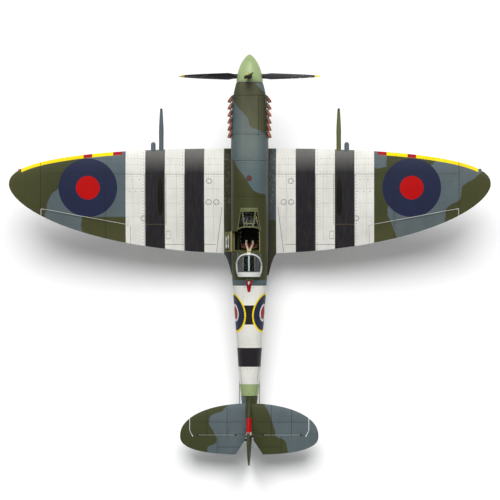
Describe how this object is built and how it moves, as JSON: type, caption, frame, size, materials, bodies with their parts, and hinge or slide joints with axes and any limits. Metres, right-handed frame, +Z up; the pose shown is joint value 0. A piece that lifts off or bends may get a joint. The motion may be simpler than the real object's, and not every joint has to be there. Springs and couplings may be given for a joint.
{
  "type": "rc warbird plane",
  "caption": "Radio-controlled model of a single-seat fighter with elliptical wings, a spinner and propeller, moving control surfaces, flaps, sliding canopy, hatch and retracting wheels.",
  "frame": {"origin": "bottom centre of the bounding box: the ground under the middle of the model, standing on its three wheels", "axes": "+X to the right wing tip, +Y to the nose, +Z up from the ground; the fuselage stands nose up at its ground angle"},
  "size_m": [1.1994, 1.0104, 0.4181],
  "materials": {
    "green_paint": "satin paint on foam and plastic",
    "grey_paint": "satin paint",
    "pale_paint": "satin paint",
    "black_plastic": "moulded",
    "tyre": "moulded",
    "steel": "bright wire",
    "alloy": "machined",
    "burnt_steel": "heat-stained paint",
    "clear": "clear moulded plastic",
    "plywood": "sanded",
    "battery_wrap": "shrink wrap",
    "carbon": "wound carbon tube",
    "seat_pad": "dark red pad"
  },
  "bodies": {
    "airframe": {"fuselage_shell": "green_paint", "engine_cowling": "green_paint", "equipment_tray": "plywood", "carburettor_intake": "grey_paint", "windscreen": "clear", "rear_glazing": "clear", "cockpit_tub": "green_paint", "instrument_panel": "black_plastic", "pilot_seat": "seat_pad", "control_stick": "black_plastic", "wing_spar_tube": "carbon", "pitot_tube": "steel", "tailplane": "green_paint", "fin": "green_paint", "elevator_servo": "black_plastic", "rudder_servo": "black_plastic", "motor_stator": "black_plastic", "battery_pack": "battery_wrap", "receiver": "black_plastic", "speed_controller": "black_plastic", "aerial_mast": "pale_paint", "wing_left": "green_paint", "aileron_servo_left": "black_plastic", "cannon_left": "alloy", "radiator_left": "grey_paint", "exhaust_left": "burnt_steel", "retract_unit_left": "black_plastic", "wing_right": "green_paint", "aileron_servo_right": "black_plastic", "cannon_right": "alloy", "radiator_right": "grey_paint", "exhaust_right": "burnt_steel", "retract_unit_right": "black_plastic"},
    "propeller_unit": {"spinner": "pale_paint", "spinner_backplate": "black_plastic", "propeller": "black_plastic", "motor_rotor": "alloy"},
    "aileron_left": {"aileron_left": "green_paint"},
    "aileron_right": {"aileron_right": "green_paint"},
    "aileron_arm_left": {"aileron_arm_left": "black_plastic"},
    "aileron_rod_left": {"aileron_rod_left": "steel"},
    "aileron_arm_right": {"aileron_arm_right": "black_plastic"},
    "aileron_rod_right": {"aileron_rod_right": "steel"},
    "flap_left": {"flap_left": "grey_paint"},
    "flap_right": {"flap_right": "grey_paint"},
    "elevator": {"elevator": "green_paint"},
    "rudder": {"rudder": "green_paint"},
    "elevator_arm": {"elevator_arm": "black_plastic"},
    "elevator_rod": {"elevator_rod": "steel"},
    "rudder_arm": {"rudder_arm": "black_plastic"},
    "rudder_rod": {"rudder_rod": "steel"},
    "tail_wheel_fork": {"tail_wheel_leg": "alloy"},
    "tail_wheel": {"tail_wheel": "tyre"},
    "main_leg_left": {"main_leg_left": "alloy"},
    "main_leg_right": {"main_leg_right": "alloy"},
    "main_wheel_left": {"main_wheel_left": "tyre"},
    "main_wheel_right": {"main_wheel_right": "tyre"},
    "canopy_hood": {"canopy_hood": "clear"},
    "battery_hatch": {"battery_hatch": "green_paint"},
    "cockpit_door": {"cockpit_door": "green_paint"}
  },
  "joints": [
    {"name": "propeller_spin", "type": "hinge", "parent": "airframe", "child": "propeller_unit", "pos_m": [0, 0.45447, 0.2466], "axis": [0, 0.9757, 0.2192], "continuous": true},
    {"name": "aileron_left_hinge", "type": "hinge", "parent": "airframe", "child": "aileron_left", "pos_m": [-0.40899, 0.113, 0.15496], "axis": [0.9786, -0.1556, -0.1349], "range_deg": [-20, 20]},
    {"name": "aileron_right_hinge", "type": "hinge", "parent": "airframe", "child": "aileron_right", "pos_m": [0.40899, 0.113, 0.15496], "axis": [0.9786, 0.1556, 0.1349], "range_deg": [-20, 20]},
    {"name": "aileron_arm_left_turn", "type": "hinge", "parent": "airframe", "child": "aileron_arm_left", "pos_m": [-0.36923, 0.15827, 0.16107], "axis": [0.9786, -0.1556, -0.1349], "range_deg": [-21, 21]},
    {"name": "aileron_rod_left_slide", "type": "slide", "parent": "airframe", "child": "aileron_rod_left", "axis": [0.1805, 0.9634, 0.198], "range_m": [-0.0055, 0.0055]},
    {"name": "aileron_arm_right_turn", "type": "hinge", "parent": "airframe", "child": "aileron_arm_right", "pos_m": [0.36727, 0.15796, 0.1608], "axis": [0.9786, 0.1556, 0.1349], "range_deg": [-21, 21]},
    {"name": "aileron_rod_right_slide", "type": "slide", "parent": "airframe", "child": "aileron_rod_right", "axis": [-0.1805, 0.9634, 0.198], "range_m": [-0.0055, 0.0055]},
    {"name": "flap_left_hinge", "type": "hinge", "parent": "airframe", "child": "flap_left", "pos_m": [-0.1835, 0.10106, 0.12206], "axis": [0.9911, -0.0444, -0.1255], "range_deg": [0, 60]},
    {"name": "flap_right_hinge", "type": "hinge", "parent": "airframe", "child": "flap_right", "pos_m": [0.1835, 0.10106, 0.12206], "axis": [0.9911, 0.0444, 0.1255], "range_deg": [0, 60]},
    {"name": "elevator_hinge", "type": "hinge", "parent": "airframe", "child": "elevator", "pos_m": [0, -0.42641, 0.08355], "axis": [1, 0, 0], "range_deg": [-24, 24]},
    {"name": "rudder_hinge", "type": "hinge", "parent": "airframe", "child": "rudder", "pos_m": [0, -0.43598, 0.0814], "axis": [0, -0.2192, 0.9757], "range_deg": [-25, 25]},
    {"name": "elevator_arm_turn", "type": "hinge", "parent": "airframe", "child": "elevator_arm", "pos_m": [0.009, 0.0054, 0.13321], "axis": [0, -0.2192, 0.9757], "range_deg": [-33, 33]},
    {"name": "elevator_rod_slide", "type": "slide", "parent": "airframe", "child": "elevator_rod", "axis": [-0.0113, 0.9872, 0.1588], "range_m": [-0.0075, 0.0075]},
    {"name": "rudder_arm_turn", "type": "hinge", "parent": "airframe", "child": "rudder_arm", "pos_m": [-0.009, 0.0054, 0.13321], "axis": [0, -0.2192, 0.9757], "range_deg": [-51, 51]},
    {"name": "rudder_rod_slide", "type": "slide", "parent": "airframe", "child": "rudder_rod", "axis": [0.009, 0.9825, 0.186], "range_m": [-0.0121, 0.0121]},
    {"name": "tail_wheel_steer", "type": "hinge", "parent": "airframe", "child": "tail_wheel_fork", "pos_m": [0, -0.3561, 0.01325], "axis": [0, -0.2192, 0.9757], "range_deg": [-26, 26]},
    {"name": "tail_wheel_spin", "type": "hinge", "parent": "tail_wheel_fork", "child": "tail_wheel", "pos_m": [0, -0.3639, 0.0115], "axis": [1, 0, 0], "continuous": true},
    {"name": "leg_left_retract", "type": "hinge", "parent": "airframe", "child": "main_leg_left", "pos_m": [-0.086, 0.21787, 0.15007], "axis": [-0.1817, 0.9034, 0.3885], "range_deg": [0, 91.29]},
    {"name": "leg_right_retract", "type": "hinge", "parent": "airframe", "child": "main_leg_right", "pos_m": [0.086, 0.21787, 0.15007], "axis": [-0.1817, -0.9034, -0.3885], "range_deg": [0, 91.29]},
    {"name": "main_wheel_left_spin", "type": "hinge", "parent": "main_leg_left", "child": "main_wheel_left", "pos_m": [-0.09352, 0.27762, 0.032], "axis": [0.9896, 0.065, -0.1284], "continuous": true},
    {"name": "main_wheel_right_spin", "type": "hinge", "parent": "main_leg_right", "child": "main_wheel_right", "pos_m": [0.09352, 0.27762, 0.032], "axis": [0.9896, -0.065, 0.1284], "continuous": true},
    {"name": "canopy_slide", "type": "slide", "parent": "airframe", "child": "canopy_hood", "axis": [0, 0.9757, 0.2192], "range_m": [0, 0.0535]},
    {"name": "hatch_lift", "type": "slide", "parent": "airframe", "child": "battery_hatch", "axis": [0, -0.2192, 0.9757], "range_m": [0, 0.08]},
    {"name": "cockpit_door_hinge", "type": "hinge", "parent": "airframe", "child": "cockpit_door", "pos_m": [-0.04457, 0.04971, 0.17207], "axis": [0, 0.9757, 0.2192], "range_deg": [0, 178]}
  ],
  "couplings": [
    {"joint": "aileron_right_hinge", "follows": "aileron_left_hinge", "ratio": -1},
    {"joint": "aileron_arm_left_turn", "follows": "aileron_left_hinge", "ratio": 1},
    {"joint": "aileron_rod_left_slide", "follows": "aileron_left_hinge", "m_per_rad": 0.014},
    {"joint": "aileron_arm_right_turn", "follows": "aileron_left_hinge", "ratio": -1},
    {"joint": "aileron_rod_right_slide", "follows": "aileron_left_hinge", "m_per_rad": -0.014},
    {"joint": "flap_right_hinge", "follows": "flap_left_hinge", "ratio": 1},
    {"joint": "elevator_arm_turn", "follows": "elevator_hinge", "ratio": 1.3333},
    {"joint": "elevator_rod_slide", "follows": "elevator_hinge", "m_per_rad": 0.016},
    {"joint": "rudder_arm_turn", "follows": "rudder_hinge", "ratio": 2},
    {"joint": "rudder_rod_slide", "follows": "rudder_hinge", "m_per_rad": -0.026},
    {"joint": "tail_wheel_steer", "follows": "rudder_hinge", "ratio": 1},
    {"joint": "leg_right_retract", "follows": "leg_left_retract", "ratio": 1}
  ]
}
